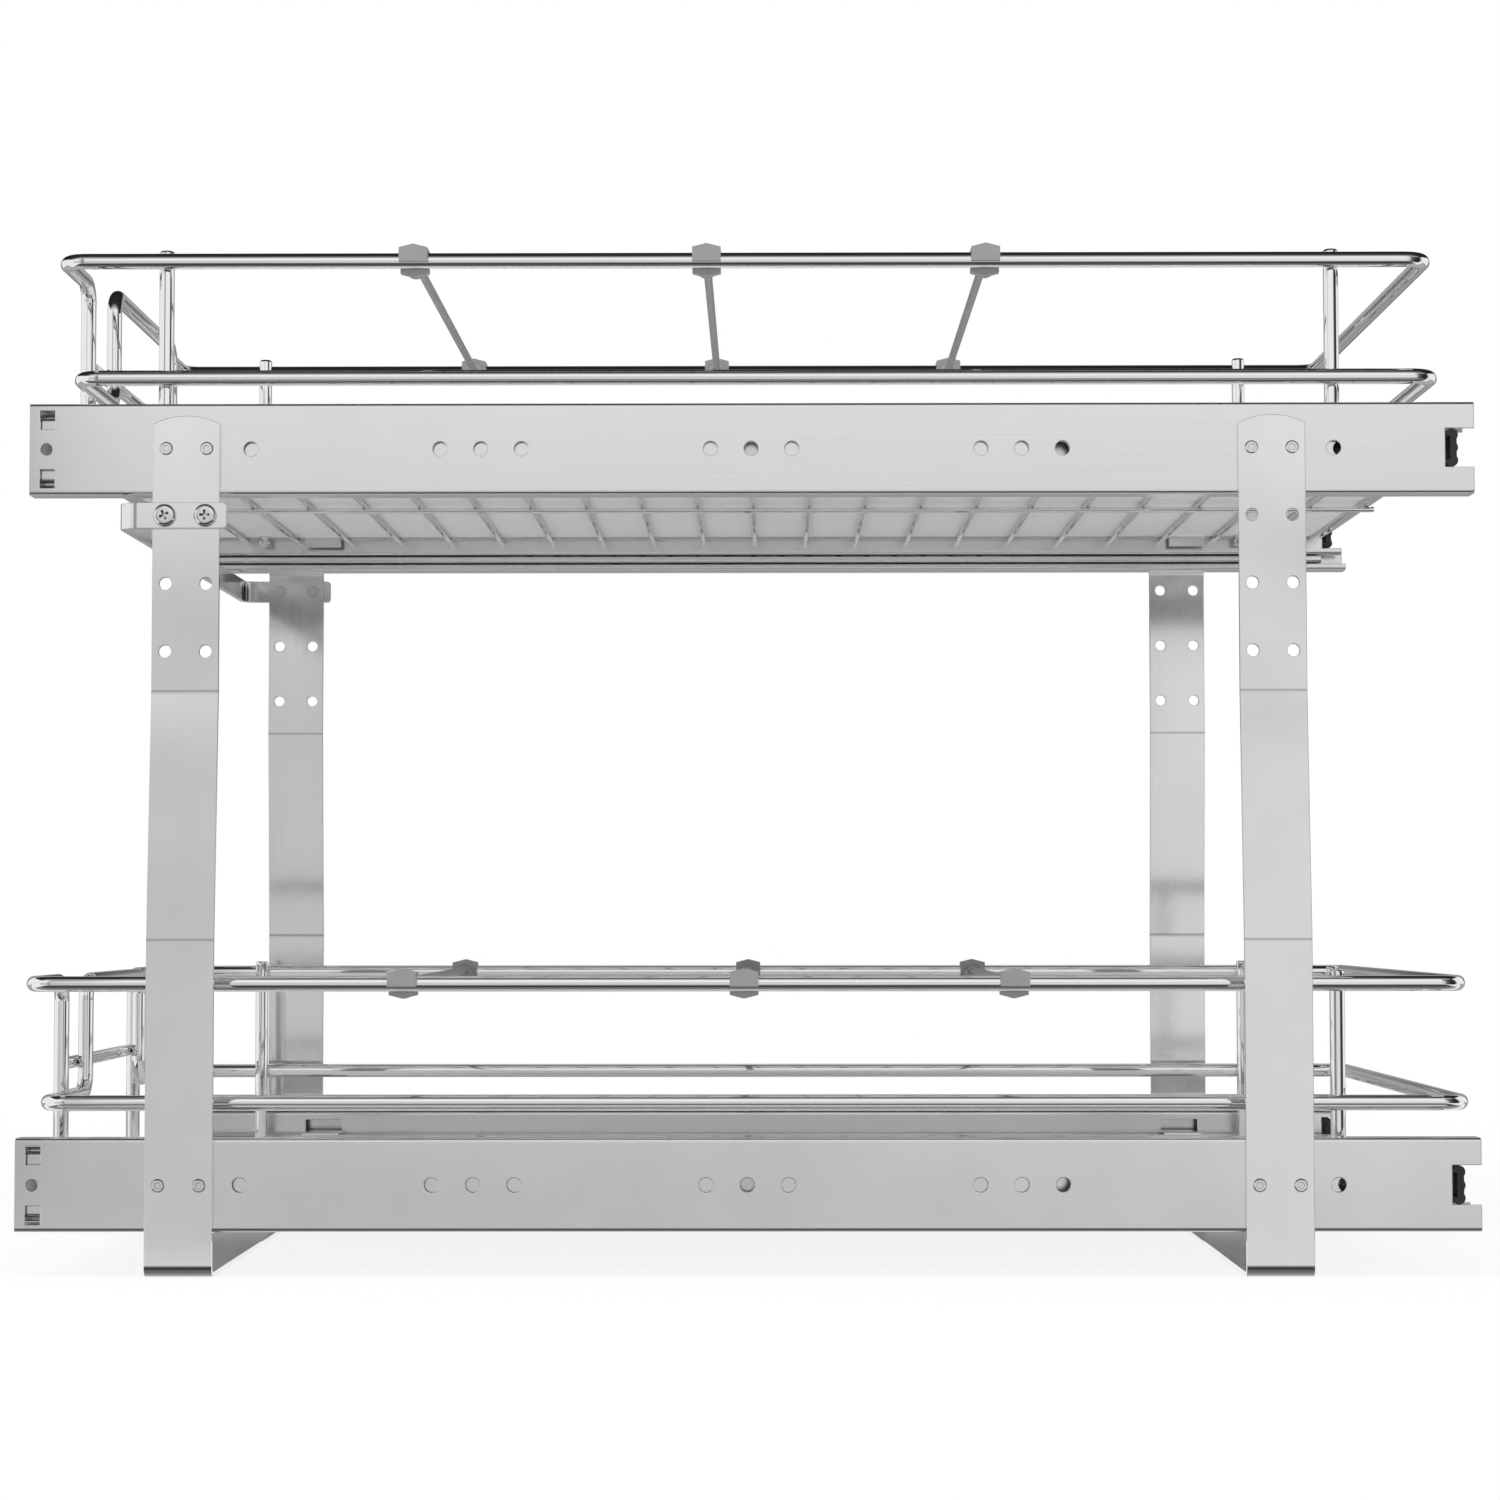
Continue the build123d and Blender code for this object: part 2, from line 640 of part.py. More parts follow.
    # Dividers: a round bar with a hub and a clip over the top rail at each end, open outwards and down
    clip_inner_x = rail_x - clip_depth / 2
    jaw_x = rail_x - clip_jaw_reach
    for number, divider_y in enumerate(place["dividers"], start=1):
        clip_side = clip_width / 2
        eave = clip_height / 2 - clip_roof_rise
        clip_corners = [
            (divider_y - clip_side, top_z - eave),
            (divider_y, top_z - clip_height / 2),
            (divider_y + clip_side, top_z - eave),
            (divider_y + clip_side, top_z + eave),
            (divider_y, top_z + clip_height / 2),
            (divider_y - clip_side, top_z + eave),
        ]
        with BuildPart() as divider:
            with BuildSketch(Plane.YZ.offset(clip_inner_x)):
                with BuildLine():
                    Polyline(*clip_corners, close=True)
                make_face()
            extrude(amount=clip_depth)
            with BuildSketch(Plane.YZ.offset(clip_inner_x)):
                with Locations((divider_y, top_z - hub_drop)):
                    Circle(hub / 2)
            extrude(amount=-hub_length)
            chamfer(divider.faces().sort_by(Axis.X)[0].edges(), hub_chamfer)
            with BuildSketch(Plane.YZ):
                with Locations((divider_y, top_z + bar_rise)):
                    Circle(bar / 2)
            extrude(amount=clip_inner_x)
            with BuildSketch(Plane.XZ.offset(-divider_y - clip_width)):
                with Locations((rail_x, top_z)):
                    Circle(rail_wire / 2 + clip_clearance)
                with Locations((jaw_x, top_z - clip_lip_drop)):
                    Rectangle(clip_depth, clip_height, align=(Align.MIN, Align.MAX))
            extrude(amount=2 * clip_width, mode=Mode.SUBTRACT)
            mirror(about=Plane.YZ)
        divider.part.label = f"{tier}_divider_{number}"
        export_step(divider.part, f"parts/{tier}_divider_{number}.step")
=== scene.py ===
# %% [markdown]
# # A two-tier pull-out organizer in chrome wire and plated steel
# The object is two wire baskets on ball-bearing slides, held by two flat steel straps. The CAD
# model gives every piece its true shape and place, so this lesson is about what the eye needs
# next: a camera, a room that suits bright metal, and a finish for each kind of piece. Everything
# is in metres, in the CAD model's own frame.

# %% Load the CAD model as a fixed frame
import math

import bpy
from mathutils import Matrix, Vector

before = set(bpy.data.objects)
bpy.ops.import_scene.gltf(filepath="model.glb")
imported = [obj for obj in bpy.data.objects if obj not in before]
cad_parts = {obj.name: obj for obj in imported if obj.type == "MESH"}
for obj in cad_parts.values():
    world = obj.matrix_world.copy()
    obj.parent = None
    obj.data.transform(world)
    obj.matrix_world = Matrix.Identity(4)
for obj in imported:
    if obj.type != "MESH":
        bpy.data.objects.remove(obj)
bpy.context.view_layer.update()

# %% [markdown]
# ## The camera
# The photograph looks at the right side from low down, a little below the middle, and slightly
# upwards. Its place, direction and lens were solved from the corners of the slides, whose size is
# known. A look direction and a roll are turned into the three axes of the camera, because that
# says exactly what was solved. Pointing the camera at a target would be quicker, but it would
# lose the small roll.

# %% Set the camera where the photograph was taken
camera_place = Vector((1.4372, 0.0078, 0.1357))
pitch, yaw, roll = 0.0484, -0.0052, -0.0008
focal_px, photo_px = 3399.2, 1500
sensor_mm = 36.0

look = Vector((-math.cos(pitch) * math.cos(yaw), math.cos(pitch) * math.sin(yaw), math.sin(pitch)))
side = look.cross(Vector((0, 0, 1))).normalized()
up = side.cross(look)
right_axis = math.cos(roll) * side + math.sin(roll) * up
up_axis = math.cos(roll) * up - math.sin(roll) * side
turn = Matrix((right_axis, up_axis, -look)).transposed().to_4x4()

camera_data = bpy.data.cameras.new("photo_camera")
camera_data.sensor_width = sensor_mm
camera_data.lens = sensor_mm * (focal_px / photo_px)
camera_data.clip_start, camera_data.clip_end = 0.05, 100
camera = bpy.data.objects.new("photo_camera", camera_data)
camera.matrix_world = Matrix.Translation(camera_place) @ turn
bpy.context.scene.collection.objects.link(camera)
bpy.context.scene.camera = camera
print("lens", round(camera_data.lens, 2), "mm")

# %% [markdown]
# ## Colour and node helpers
# A hex colour is written in sRGB, the way a paint or screen colour is given, and a shader works
# in linear light, so one function turns one into the other. A second small function adds a node,
# sets its values by name or number and links its inputs, which keeps each material readable as a
# short recipe. Pattern sizes are given in millimetres of the real thing, and a third function
# turns a size into Blender's scale.

# %% Turn a hex colour into linear light
def linear(hex_colour):
    knee, slope, offset, power = 0.04045, 12.92, 0.055, 2.4
    steps = [int(hex_colour[i : i + 2], 16) / 255 for i in (1, 3, 5)]
    rgb = [v / slope if v <= knee else ((v + offset) / (1 + offset)) ** power for v in steps]
    return rgb + [1.0]


print("mid grey", [round(v, 3) for v in linear("#808080")])

# %% Add one node with its settings and links
def add_node(tree, kind, settings=None, **inputs):
    """Add a node. An input is given by its name, or as i0, i1 and so on by its number"""
    node = tree.nodes.new(kind)
    for name, value in (settings or {}).items():
        setattr(node, name, value)
    for name, value in inputs.items():
        numbered = name[0] == "i" and name[1:].isdigit()
        key = int(name[1:]) if numbered else name.replace("_", " ")
        if isinstance(value, bpy.types.NodeSocket):
            tree.links.new(value, node.inputs[key])
        else:
            node.inputs[key].default_value = value
    return node


def new_material(name):
    material = bpy.data.materials.new(name)
    material.use_nodes = True
    material.node_tree.nodes.clear()
    return material, material.node_tree


def per_metre(size_mm):
    return 1000.0 / size_mm


finishes = {}
print("a 2 mm pattern has scale", per_metre(2.0))

# %% [markdown]
# ## Chrome wire
# The baskets are drawn steel wire, welded, then plated with nickel and chrome. Chrome is almost
# white and almost a mirror: what the eye reads as chrome is the room in it, squeezed into lines
# along the wire. The plating follows the drawn wire underneath, so those lines waver a little. A
# bump of long soft waves gives that, and a fine haze in the roughness keeps the mirror from
# looking like glass. The haze is 1 mm grit, coarser than the real one, so that it shows.

# %% Chrome-plated drawn wire
wave_mm, haze_mm = 14.0, 1.0
mirror_roughness, haze_roughness = 0.02, 0.06
ripple_strength, ripple_depth = 0.08, 0.0009

finishes["chrome_wire"], tree = new_material("chrome_plated_drawn_wire")
place = add_node(tree, "ShaderNodeTexCoord").outputs["Object"]
waves = add_node(tree, "ShaderNodeTexNoise", Vector=place, Scale=per_metre(wave_mm), Detail=0.0)
haze = add_node(tree, "ShaderNodeTexNoise", Vector=place, Scale=per_metre(haze_mm), Detail=3.0)
gloss = add_node(
    tree,
    "ShaderNodeMapRange",
    Value=haze.outputs["Fac"],
    To_Min=mirror_roughness,
    To_Max=haze_roughness,
)
ripple = add_node(
    tree,
    "ShaderNodeBump",
    Height=waves.outputs["Fac"],
    Strength=ripple_strength,
    Distance=ripple_depth,
)
shader = add_node(
    tree,
    "ShaderNodeBsdfPrincipled",
    Base_Color=linear("#E8E8E8"),
    Metallic=1.0,
    Roughness=gloss.outputs["Result"],
    Normal=ripple.outputs["Normal"],
)
add_node(tree, "ShaderNodeOutputMaterial", Surface=shader.outputs["BSDF"])
print(finishes["chrome_wire"].name, "with waves of", wave_mm, "mm")

# %% [markdown]
# ## Straps
# The straps are cold-rolled strip, bent and then nickel plated. Rolling leaves very fine lines
# along the strip and the plating softens them, so the metal is bright but its reflections are
# blurred bands. Noise stretched along the strip drives roughness and a faint bump, and slow
# clouds stand for uneven plating. The lines are drawn 0.6 mm apart, about ten times the real
# spacing.

# %% Rolled lines and plating clouds of the strip
line_mm, line_length_mm, cloud_mm = 0.6, 60.0, 45.0
smooth_roughness, lined_roughness = 0.07, 0.15
roughest_product = 0.6

finishes["bright_strap"], tree = new_material("nickel_plated_rolled_strip")
place = add_node(tree, "ShaderNodeTexCoord").outputs["Object"]
line_scale = (per_metre(line_length_mm), per_metre(line_mm), per_metre(line_length_mm))
along = add_node(tree, "ShaderNodeMapping", Vector=place, Scale=line_scale)
lines = add_node(
    tree, "ShaderNodeTexNoise", Vector=along.outputs["Vector"], Scale=1.0, Detail=3.0
)
clouds = add_node(tree, "ShaderNodeTexNoise", Vector=place, Scale=per_metre(cloud_mm), Detail=3.0)
uneven = add_node(
    tree,
    "ShaderNodeMath",
    {"operation": "MULTIPLY"},
    i0=lines.outputs["Fac"],
    i1=clouds.outputs["Fac"],
)
gloss = add_node(
    tree,
    "ShaderNodeMapRange",
    Value=uneven.outputs["Value"],
    From_Max=roughest_product,
    To_Min=smooth_roughness,
    To_Max=lined_roughness,
)
tone = add_node(
    tree,
    "ShaderNodeMix",
    {"data_type": "RGBA"},
    i0=clouds.outputs["Fac"],
    i6=linear("#D6D6D6"),
    i7=linear("#EAEAEA"),
)
print("strip lines", line_mm, "mm apart, clouds", cloud_mm, "mm wide")

# %% [markdown]
# Two thin darker lines are painted across the strap at the height of its bends. They are painted
# shade, where the sharper crease of each bend turns from the light. A bevel node bends the normal
# near an edge, so that the edge catches a thin line of light, as the rounded edge of rolled strip
# does. It costs no geometry.

# %% Painted bend shade, edges and surface of the strip
lower_bend_z, upper_bend_z = 0.1264, 0.2205
crease_shade_half_width = 0.0005
edge_radius, edge_samples = 0.0005, 6
line_strength, line_depth = 0.08, 0.0001

height = add_node(tree, "ShaderNodeSeparateXYZ", Vector=place).outputs["Z"]
# Painted shade: a thin darker line across the strip at each bend
for bend_z in (lower_bend_z, upper_bend_z):
    mark = add_node(
        tree,
        "ShaderNodeMath",
        {"operation": "COMPARE"},
        i0=height,
        i1=bend_z,
        i2=crease_shade_half_width,
    )
    tone = add_node(
        tree,
        "ShaderNodeMix",
        {"data_type": "RGBA"},
        i0=mark.outputs["Value"],
        i6=tone.outputs[2],
        i7=linear("#BCBCBC"),
    )
edge = add_node(tree, "ShaderNodeBevel", {"samples": edge_samples}, Radius=edge_radius)
scratch = add_node(
    tree,
    "ShaderNodeBump",
    Height=lines.outputs["Fac"],
    Strength=line_strength,
    Distance=line_depth,
    Normal=edge.outputs["Normal"],
)
shader = add_node(
    tree,
    "ShaderNodeBsdfPrincipled",
    Base_Color=tone.outputs[2],
    Metallic=1.0,
    Roughness=gloss.outputs["Result"],
    Normal=scratch.outputs["Normal"],
)
add_node(tree, "ShaderNodeOutputMaterial", Surface=shader.outputs["BSDF"])
print(finishes["bright_strap"].name, "marked at", lower_bend_z, "and", upper_bend_z, "m")

# %% [markdown]
# ## Slides
# The slide members are roll-formed strip with a clear zinc plating. Zinc is greyer and softer
# than nickel, and roll forming draws every mark out along the slide. The same kind of stretched
# noise is used, now along the slide's length, with more roughness, and broad clouds give the
# faint mottle of zinc. The lines are 0.5 mm apart, again coarser than the real ones, and the
# edges are softened as on the straps.

# %% Zinc-plated roll-formed steel
line_mm, line_length_mm, cloud_mm = 0.5, 90.0, 35.0
smooth_roughness, mottled_roughness = 0.15, 0.26
least_mottle, most_mottle = 0.6, 1.4

finishes["slide_steel"], tree = new_material("zinc_plated_rolled_steel")
place = add_node(tree, "ShaderNodeTexCoord").outputs["Object"]
line_scale = (per_metre(line_mm), per_metre(line_length_mm), per_metre(line_mm))
along = add_node(tree, "ShaderNodeMapping", Vector=place, Scale=line_scale)
lines = add_node(
    tree, "ShaderNodeTexNoise", Vector=along.outputs["Vector"], Scale=1.0, Detail=3.0
)
clouds = add_node(tree, "ShaderNodeTexNoise", Vector=place, Scale=per_metre(cloud_mm), Detail=4.0)
mottle = add_node(
    tree,
    "ShaderNodeMath",
    {"operation": "ADD"},
    i0=lines.outputs["Fac"],
    i1=clouds.outputs["Fac"],
)
gloss = add_node(
    tree,
    "ShaderNodeMapRange",
    Value=mottle.outputs["Value"],
    From_Min=least_mottle,
    From_Max=most_mottle,
    To_Min=smooth_roughness,
    To_Max=mottled_roughness,
)
tone = add_node(
    tree,
    "ShaderNodeMix",
    {"data_type": "RGBA"},
    i0=lines.outputs["Fac"],
    i6=linear("#DADADA"),
    i7=linear("#E4E4E4"),
)
edge = add_node(tree, "ShaderNodeBevel", {"samples": edge_samples}, Radius=edge_radius)
shader = add_node(
    tree,
    "ShaderNodeBsdfPrincipled",
    Base_Color=tone.outputs[2],
    Metallic=1.0,
    Roughness=gloss.outputs["Result"],
    Normal=edge.outputs["Normal"],
)
add_node(tree, "ShaderNodeOutputMaterial", Surface=shader.outputs["BSDF"])
print(finishes["slide_steel"].name, "with lines", line_mm, "mm apart")

# %% [markdown]
# ## Small steel pieces
# The ball cages are stamped zinc-plated sheet, the balls are hardened and polished, and the
# rivets and screws are plated. All three are bare metal with a fine even grit, so one loop makes
# them. What differs is the tone, the roughness and the size of the grit: polished balls have
# hardly any. The grit is drawn about 1 mm wide, coarser than the real one. A cross recess or the
# foot of a rivet head holds little light, so a node that measures how closed in a spot is mixes
# in a dark tone there.

# %% Stamped, polished and plated steel
small_edge_radius = edge_radius / 3
grit_strength, grit_depth = 0.05, 0.0001
grit_spread = 0.3
recess_reach, recess_samples = 0.0012, 8
closed_in, open_air = 0.35, 0.75

for slot, name, colour, roughness, grit_mm in (
    ("cage_steel", "stamped_zinc_plated_sheet", "#D6D6D6", 0.24, 1.5),
    ("ball_steel", "polished_bearing_steel", "#DCDCDC", 0.06, 0.8),
    ("fastener", "nickel_plated_fastener_steel", "#D8D8D8", 0.13, 0.8),
):
    finishes[slot], tree = new_material(name)
    place = add_node(tree, "ShaderNodeTexCoord").outputs["Object"]
    grit = add_node(
        tree, "ShaderNodeTexNoise", Vector=place, Scale=per_metre(grit_mm), Detail=2.0
    )
    gloss = add_node(
        tree,
        "ShaderNodeMapRange",
        Value=grit.outputs["Fac"],
        To_Min=roughness * (1 - grit_spread),
        To_Max=roughness * (1 + grit_spread),
    )
    edge = add_node(tree, "ShaderNodeBevel", {"samples": edge_samples}, Radius=small_edge_radius)
    bump = add_node(
        tree,
        "ShaderNodeBump",
        Height=grit.outputs["Fac"],
        Strength=grit_strength,
        Distance=grit_depth,
        Normal=edge.outputs["Normal"],
    )
    # Painted shade: a dark tone is mixed in where a spot is closed in, in a cross recess and at
    # the foot of a head
    recess = add_node(
        tree, "ShaderNodeAmbientOcclusion", {"samples": recess_samples}, Distance=recess_reach
    )
    open_share = add_node(
        tree,
        "ShaderNodeMapRange",
        Value=recess.outputs["AO"],
        From_Min=closed_in,
        From_Max=open_air,
    )
    tone = add_node(
        tree,
        "ShaderNodeMix",
        {"data_type": "RGBA"},
        i0=open_share.outputs["Result"],
        i6=linear("#3A3A3A"),
        i7=linear(colour),
    )
    shader = add_node(
        tree,
        "ShaderNodeBsdfPrincipled",
        Base_Color=tone.outputs[2],
        Metallic=1.0,
        Roughness=gloss.outputs["Result"],
        Normal=bump.outputs["Normal"],
    )
    add_node(tree, "ShaderNodeOutputMaterial", Surface=shader.outputs["BSDF"])
    print(slot, "is", name)

# %% [markdown]
# ## Moulded and rolled plastics
# The dividers are moulded nylon, the floor liner is calendered polypropylene sheet and the
# bumpers are moulded rubber. They are not metal, so their colour is their own and only a weak
# sheen comes from the room. A fine grain from the mould breaks that sheen up. Slow clouds vary
# the colour a little, as flow in a mould does.

# %% Nylon, polypropylene and rubber
flow_mm = 25.0
grain_strength = 0.3
grain_spread = 0.15
plastic_ior = 1.5

for slot, name, dark, light, roughness, grain_mm, depth_mm in (
    ("divider_plastic", "grey_moulded_nylon", "#8C8C8C", "#999999", 0.42, 0.7, 0.02),
    ("liner_plastic", "grey_polypropylene_sheet", "#E0E0E0", "#E8E8E8", 0.38, 1.2, 0.01),
    ("bumper_rubber", "black_moulded_rubber", "#1E1E1E", "#2A2A2A", 0.62, 0.6, 0.03),
):
    finishes[slot], tree = new_material(name)
    place = add_node(tree, "ShaderNodeTexCoord").outputs["Object"]
    clouds = add_node(
        tree, "ShaderNodeTexNoise", Vector=place, Scale=per_metre(flow_mm), Detail=3.0
    )
    tone = add_node(
        tree,
        "ShaderNodeMix",
        {"data_type": "RGBA"},
        i0=clouds.outputs["Fac"],
        i6=linear(dark),
        i7=linear(light),
    )
    grain = add_node(
        tree, "ShaderNodeTexNoise", Vector=place, Scale=per_metre(grain_mm), Detail=2.0
    )
    gloss = add_node(
        tree,
        "ShaderNodeMapRange",
        Value=grain.outputs["Fac"],
        To_Min=roughness * (1 - grain_spread),
        To_Max=roughness * (1 + grain_spread),
    )
    bump = add_node(
        tree,
        "ShaderNodeBump",
        Height=grain.outputs["Fac"],
        Strength=grain_strength,
        Distance=depth_mm / 1000,
    )
    shader = add_node(
        tree,
        "ShaderNodeBsdfPrincipled",
        Base_Color=tone.outputs[2],
        Metallic=0.0,
        IOR=plastic_ior,
        Roughness=gloss.outputs["Result"],
        Normal=bump.outputs["Normal"],
    )
    add_node(tree, "ShaderNodeOutputMaterial", Surface=shader.outputs["BSDF"])
    print(slot, "is", name)

# %% [markdown]
# ## Dressing the CAD nodes
# Each CAD node arrives with a plain material that is named for its slot in the record. The finish
# is assigned to the same material slot, which leaves the mesh as it is. Faces that turn by less
# than about 30 degrees are already shaded smooth by the export, so nothing else is needed.

# %% Give each CAD node its finish
for name, node in sorted(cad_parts.items()):
    for material_slot in node.material_slots:
        wanted = material_slot.material.name.split(".")[0]
        material_slot.material = finishes[wanted]
print(len(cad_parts), "nodes dressed in", len(finishes), "finishes")

# %% [markdown]
# ## Floor
# The photograph has a pure white ground. The floor is white paper that catches the soft shadow
# below the straps. Towards the camera it is mixed with plain white, and the mix grows to full
# white away from the object, so no horizon shows. The floor is left out of mirrors, because the
# cards further down stand in for what the metal sees there.

# %% White paper floor
floor_half = 6.0
floor_corners = [
    (-floor_half, -floor_half, 0),
    (floor_half, -floor_half, 0),
    (floor_half, floor_half, 0),
    (-floor_half, floor_half, 0),
]
floor_mesh = bpy.data.meshes.new("floor")
floor_mesh.from_pydata(floor_corners, [], [(0, 1, 2, 3)])
floor = bpy.data.objects.new("floor", floor_mesh)
bpy.context.scene.collection.objects.link(floor)
floor.visible_glossy = False
print("floor", 2 * floor_half, "m wide")

# %% Tell rays that are seen from rays that only light
def seen_share(tree):
    """1 for rays from the camera, mirrors and glass, 0 for the soft light between surfaces"""
    rays = add_node(tree, "ShaderNodeLightPath").outputs
    seen = rays["Is Camera Ray"]
    for ray in ("Is Glossy Ray", "Is Transmission Ray"):
        either = add_node(tree, "ShaderNodeMath", {"operation": "MAXIMUM"}, i0=seen, i1=rays[ray])
        seen = either.outputs["Value"]
    return seen


print("seen rays ready")

# %% Paper with a soft shadow
shadow_share = 0.12
shadow_near, shadow_far = 0.45, 0.95

floor_paper, tree = new_material("white_paper_floor")
place = add_node(tree, "ShaderNodeTexCoord").outputs["Object"]
distance = add_node(tree, "ShaderNodeVectorMath", {"operation": "LENGTH"}, i0=place)
plain = add_node(
    tree,
    "ShaderNodeMapRange",
    Value=distance.outputs["Value"],
    From_Min=shadow_near,
    From_Max=shadow_far,
    To_Min=1.0 - shadow_share,
    To_Max=1.0,
)
share = add_node(
    tree,
    "ShaderNodeMath",
    {"operation": "MULTIPLY"},
    i0=seen_share(tree),
    i1=plain.outputs["Result"],
)
paper = add_node(tree, "ShaderNodeBsdfDiffuse", Color=linear("#F6F6F6"))
white = add_node(tree, "ShaderNodeEmission", Color=linear("#FFFFFF"), Strength=1.0)
both = add_node(
    tree,
    "ShaderNodeMixShader",
    i0=share.outputs["Value"],
    i1=paper.outputs["BSDF"],
    i2=white.outputs["Emission"],
)
add_node(tree, "ShaderNodeOutputMaterial", Surface=both.outputs["Shader"])
floor_mesh.materials.append(floor_paper)
print(floor_paper.name, "is full white from", shadow_far, "m")

# %% [markdown]
# ## Room light
# The world is white where the camera, a mirror or glass looks at it, and a softer fill elsewhere.
# A strong white world would be simpler, but it would wash out the plastics and flatten the
# slides.

# %% Plain white world
fill_strength = 0.55

world = bpy.data.worlds.new("studio")
bpy.context.scene.world = world
world.use_nodes = True
tree = world.node_tree
tree.nodes.clear()
room = add_node(tree, "ShaderNodeBackground", Color=linear("#FFFFFF"), Strength=fill_strength)
white = add_node(tree, "ShaderNodeBackground", Color=linear("#FFFFFF"), Strength=1.0)
both = add_node(
    tree,
    "ShaderNodeMixShader",
    i0=seen_share(tree),
    i1=room.outputs["Background"],
    i2=white.outputs["Background"],
)
add_node(tree, "ShaderNodeOutputWorld", Surface=both.outputs["Shader"])
print("world fill", fill_strength)

# %% [markdown]
# ## Cards for the metal to mirror
# Chrome in a white room is white on white. A product photographer hangs black and grey cards
# round it, just outside the picture, and their reflections draw the dark lines along each wire.
# The cards here show only in reflections. Each is a strip of bands across its width, and each
# band edge has a brightness and a cover, which the mesh blends smoothly, so the reflections have
# soft edges. Reading the lines on the rails from top to bottom told what the metal saw in the
# real room: dark close above, white in front at eye height, grey further out and low down, and
# dark low down close in front of the object.

# %% Card material
card_material, tree = new_material("studio_card")
shade = add_node(tree, "ShaderNodeVertexColor", {"layer_name": "shade"})
split = add_node(tree, "ShaderNodeSeparateColor", i0=shade.outputs["Color"])
brightness, cover = split.outputs["Red"], split.outputs["Green"]
glow = add_node(tree, "ShaderNodeEmission", Color=linear("#FFFFFF"), Strength=brightness)
clear = add_node(tree, "ShaderNodeBsdfTransparent")
both = add_node(
    tree,
    "ShaderNodeMixShader",
    i0=cover,
    i1=clear.outputs["BSDF"],
    i2=glow.outputs["Emission"],
)
add_node(tree, "ShaderNodeOutputMaterial", Surface=both.outputs["Shader"])
print("card material", card_material.name)

# %% Card maker
def studio_card(name, start, across, along, bands):
    """Make one card. Each band edge is (share of across, brightness, cover)"""
    start, across, along = Vector(start), Vector(across), Vector(along)
    points = [start + across * band[0] + along * end for band in bands for end in (0, 1)]
    faces = [(2 * i, 2 * i + 1, 2 * i + 3, 2 * i + 2) for i in range(len(bands) - 1)]
    mesh = bpy.data.meshes.new(name)
    mesh.from_pydata(points, [], faces)
    colours = mesh.color_attributes.new(name="shade", type="FLOAT_COLOR", domain="POINT")
    for i, band in enumerate(bands):
        for end in (0, 1):
            colours.data[2 * i + end].color = (band[1], band[2], 0, 1)
    mesh.materials.append(card_material)
    card = bpy.data.objects.new(name, mesh)
    bpy.context.scene.collection.objects.link(card)
    for kind in ("camera", "diffuse", "transmission", "shadow", "volume_scatter"):
        setattr(card, f"visible_{kind}", False)
    print(name, "has", len(bands) - 1, "bands")


print("card maker ready")

# %% [markdown]
# The overhead card is black above the object and fades to white towards the camera's side. The
# low card in front lies a little below the level of the floor, because from there its dark band
# meets the lower side of each wire where the photograph shows a dark stripe. It is grey below the
# object, darkest about half a metre in front of it and mid grey further out. The low card behind
# is plain grey.

# %% Hang the cards above and below
studio_card(
    "card_overhead",
    start=(-0.50, -0.75, 0.62),
    across=(1.05, 0, 0),
    along=(0, 1.5, 0),
    bands=[
        (0.0, 0.2, 0.0),
        (0.14, 0.08, 1.0),
        (0.3, 0.015, 1.0),
        (0.70, 0.03, 1.0),
        (0.73, 0.14, 1.0),
        (0.85, 0.43, 1.0),
        (1.0, 0.9, 0.0),
    ],
)
studio_card(
    "card_table_front",
    start=(0.03, -0.7, -0.2),
    across=(1.87, 0, 0),
    along=(0, 1.4, 0),
    bands=[
        (0.0, 0.28, 1.0),
        (0.042, 0.43, 1.0),
        (0.10, 0.20, 1.0),
        (0.163, 0.16, 1.0),
        (0.209, 0.05, 1.0),
        (0.305, 0.05, 1.0),
        (0.339, 0.09, 1.0),
        (0.395, 0.16, 1.0),
        (0.54, 0.36, 1.0),
        (1.0, 0.58, 1.0),
    ],
)
studio_card(
    "card_table_back",
    start=(-1.2, -1.2, 0.0015),
    across=(1.23, 0, 0),
    along=(0, 2.4, 0),
    bands=[(0.0, 0.38, 1.0), (0.6, 0.42, 1.0), (0.88, 0.5, 1.0), (1.0, 0.3, 1.0)],
)

# %% [markdown]
# The flat sides of the slides and straps face the camera's side, so the card there sets their
# grey. It is brighter towards the rear, and a second card above it fades to white. The card
# behind the object shows along the outermost edges of the round wires, where their surface turns
# away from the camera.

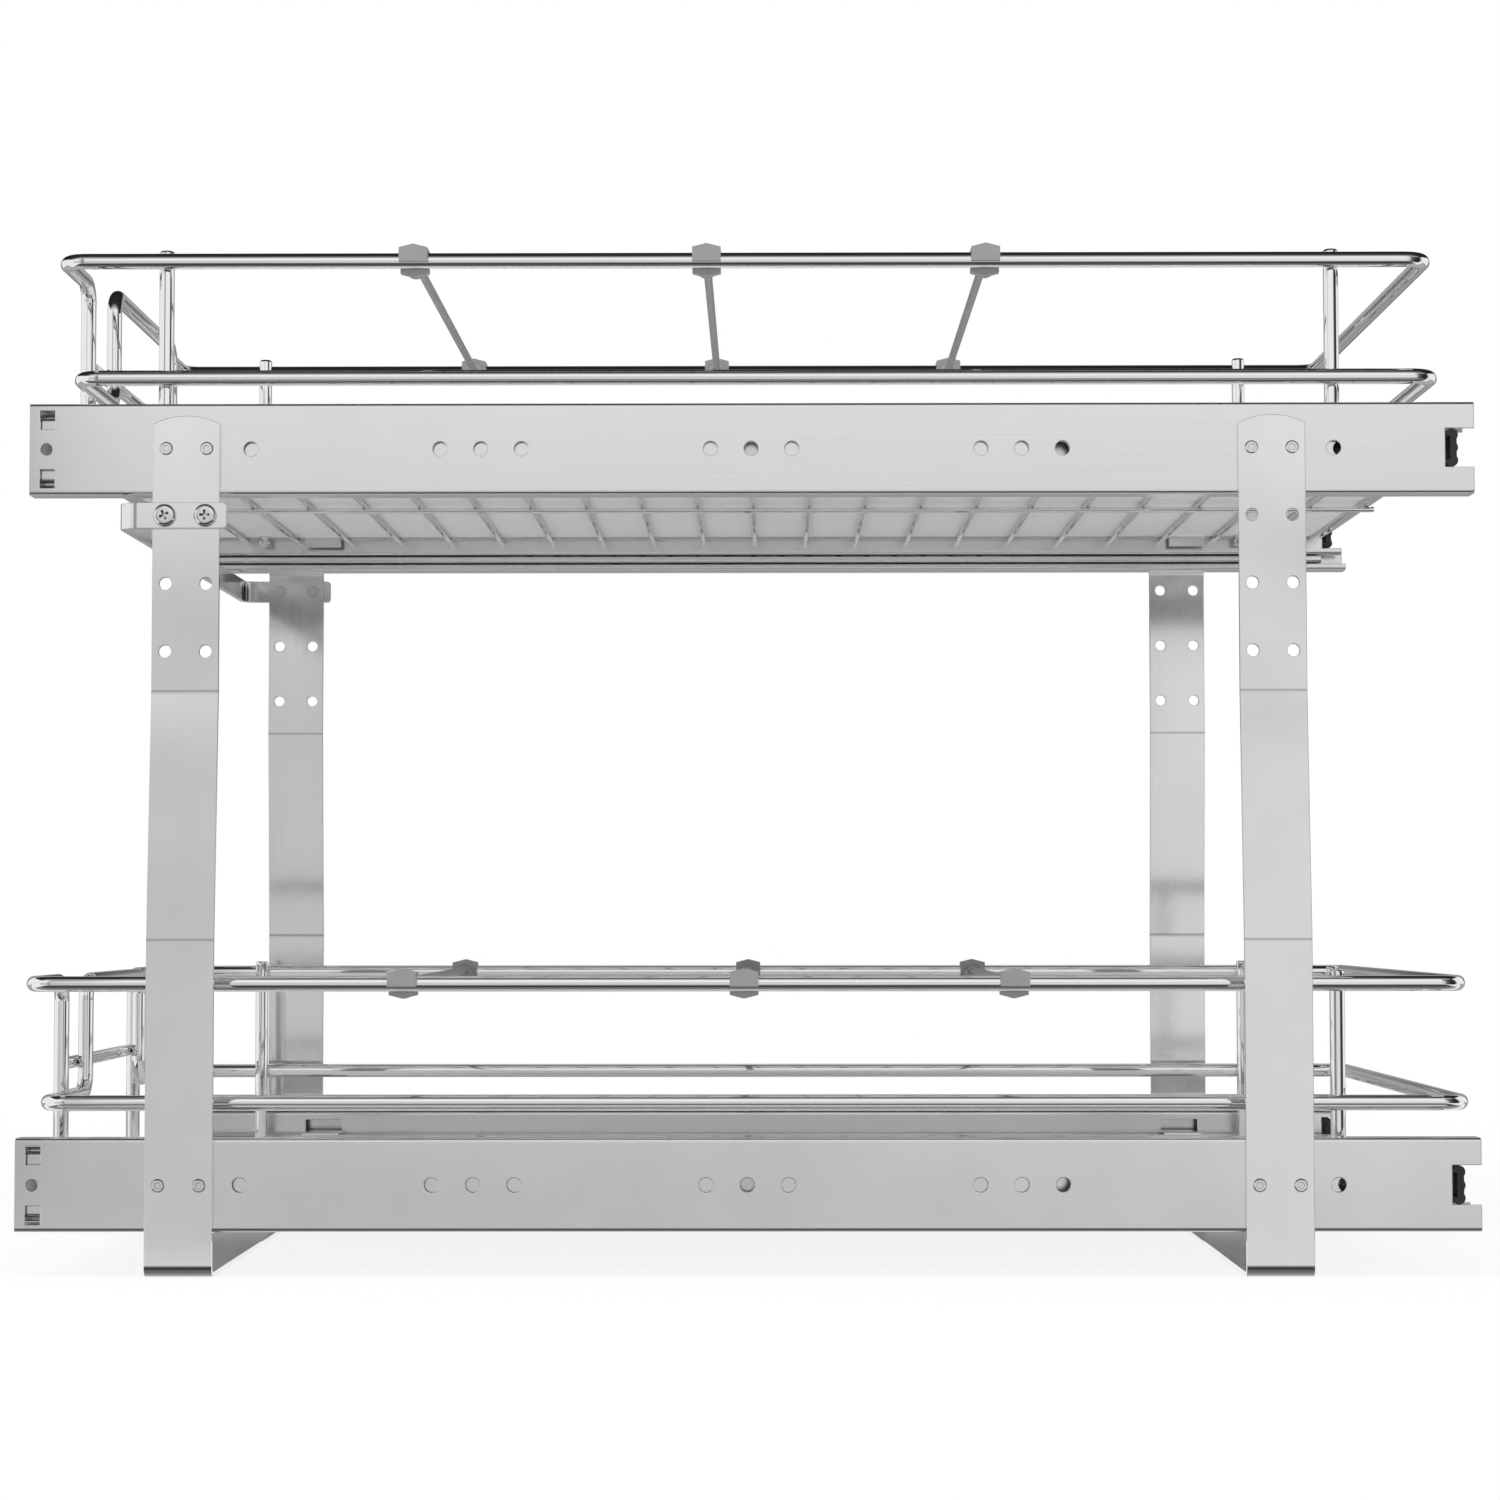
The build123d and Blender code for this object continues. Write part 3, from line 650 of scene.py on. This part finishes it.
# %% Hang the cards in front and behind
studio_card(
    "card_front",
    start=(0.85, -1.2, -0.06),
    across=(0, 2.4, 0),
    along=(0, 0, 0.40),
    bands=[
        (0.0, 0.60, 1.0),
        (0.35, 0.70, 1.0),
        (0.5, 0.74, 1.0),
        (0.63, 0.86, 1.0),
        (1.0, 0.9, 1.0),
    ],
)
studio_card(
    "card_front_top",
    start=(0.85, -1.2, 0.34),
    across=(0, 0, 0.14),
    along=(0, 2.4, 0),
    bands=[(0.0, 0.76, 1.0), (1.0, 1.0, 0.0)],
)
studio_card(
    "card_back",
    start=(-1.2, -1.6, 0.0),
    across=(0, 0, 1.5),
    along=(0, 3.2, 0),
    bands=[
        (0.0, 0.3, 1.0),
        (0.085, 0.34, 1.0),
        (0.125, 0.44, 1.0),
        (0.2, 0.22, 1.0),
        (0.24, 0.1, 1.0),
        (0.3, 0.1, 1.0),
        (0.36, 0.4, 1.0),
        (0.7, 0.4, 1.0),
        (1.0, 0.6, 0.0),
    ],
)

# %% [markdown]
# An upright wire mirrors the room from side to side, not from top to bottom. Two upright cards,
# one dark to the rear and a narrow grey one to the front, draw the two lines on each post.

# %% Hang the upright cards
studio_card(
    "card_post_dark",
    start=(0.68, 0.46, -0.06),
    across=(-0.48, 0.49, 0),
    along=(0, 0, 0.9),
    bands=[
        (0.0, 0.5, 0.0),
        (0.2, 0.15, 1.0),
        (0.45, 0.03, 1.0),
        (0.75, 0.03, 1.0),
        (1.0, 0.2, 0.0),
    ],
)
studio_card(
    "card_post_grey",
    start=(0.48, -0.47, 0.0),
    across=(0.06, 0.14, 0),
    along=(0, 0, 0.9),
    bands=[(0.0, 0.4, 0.0), (0.5, 0.22, 1.0), (1.0, 0.4, 0.0)],
)

# %% [markdown]
# ## Lamps
# Two large soft lamps above the camera's side light the plastics and give the floor its shadow.
# They are left out of mirrors, because the photograph shows soft bands in the metal and no
# bright squares.

# %% Two soft lamps
lamp_aim = Vector((0, 0, 0.2))
lamp_size = 1.6

for name, lamp_place, watts in (
    ("key", (0.9, -0.9, 2.0), 26),
    ("fill", (0.9, 1.2, 1.9), 16),
):
    lamp_data = bpy.data.lights.new(name, "AREA")
    lamp_data.shape = "SQUARE"
    lamp_data.size = lamp_size
    lamp_data.energy = watts
    lamp = bpy.data.objects.new(name, lamp_data)
    aim_turn = (lamp_aim - Vector(lamp_place)).to_track_quat("-Z", "Y").to_matrix().to_4x4()
    lamp.matrix_world = Matrix.Translation(lamp_place) @ aim_turn
    bpy.context.scene.collection.objects.link(lamp)
    lamp.visible_glossy = False
    print(name, "lamp of", watts, "W")

# %% [markdown]
# ## Finish
# The Standard view keeps a colour as it is written.

# %% View settings
bpy.context.scene.view_settings.view_transform = "Standard"
print("view", bpy.context.scene.view_settings.view_transform)
